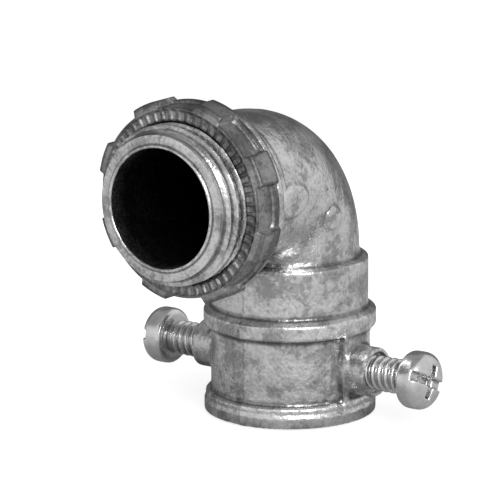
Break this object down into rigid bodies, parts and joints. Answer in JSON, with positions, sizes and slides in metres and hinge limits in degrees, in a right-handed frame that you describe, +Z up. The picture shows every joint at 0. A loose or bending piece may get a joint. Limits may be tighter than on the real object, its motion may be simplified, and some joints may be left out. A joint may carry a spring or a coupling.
{
  "type": "right-angle conduit connector",
  "caption": "Right-angle box connector for thin-wall conduit: a cast elbow with a set-screw socket, a threaded hub and a castellated locknut.",
  "frame": {"origin": "on the conduit socket's axis, in the plane of its mouth, which is the face the part stands on", "axes": "+Z up along the conduit socket, away from its mouth; -Y along the threaded hub, out of the fitting; +X along the screws' common axis, towards the right screw"},
  "size_m": [0.0474, 0.0412, 0.0467],
  "materials": {
    "cast_zinc": "satin",
    "locknut_zinc": "satin",
    "plated_steel": "satin"
  },
  "bodies": {
    "elbow_body": {"elbow_body": "cast_zinc"},
    "locknut": {"locknut": "locknut_zinc"},
    "set_screw_right": {"set_screw_right": "plated_steel"},
    "set_screw_left": {"set_screw_left": "plated_steel"}
  },
  "joints": [
    {"name": "locknut_travel", "type": "slide", "parent": "elbow_body", "child": "locknut", "axis": [0, -1, 0], "range_m": [0, 0.013]},
    {"name": "right_screw_travel", "type": "slide", "parent": "elbow_body", "child": "set_screw_right", "axis": [-1, 0, 0], "range_m": [-0.0032, 0.00515]},
    {"name": "left_screw_travel", "type": "slide", "parent": "elbow_body", "child": "set_screw_left", "axis": [1, 0, 0], "range_m": [-0.0032, 0.00515]}
  ]
}
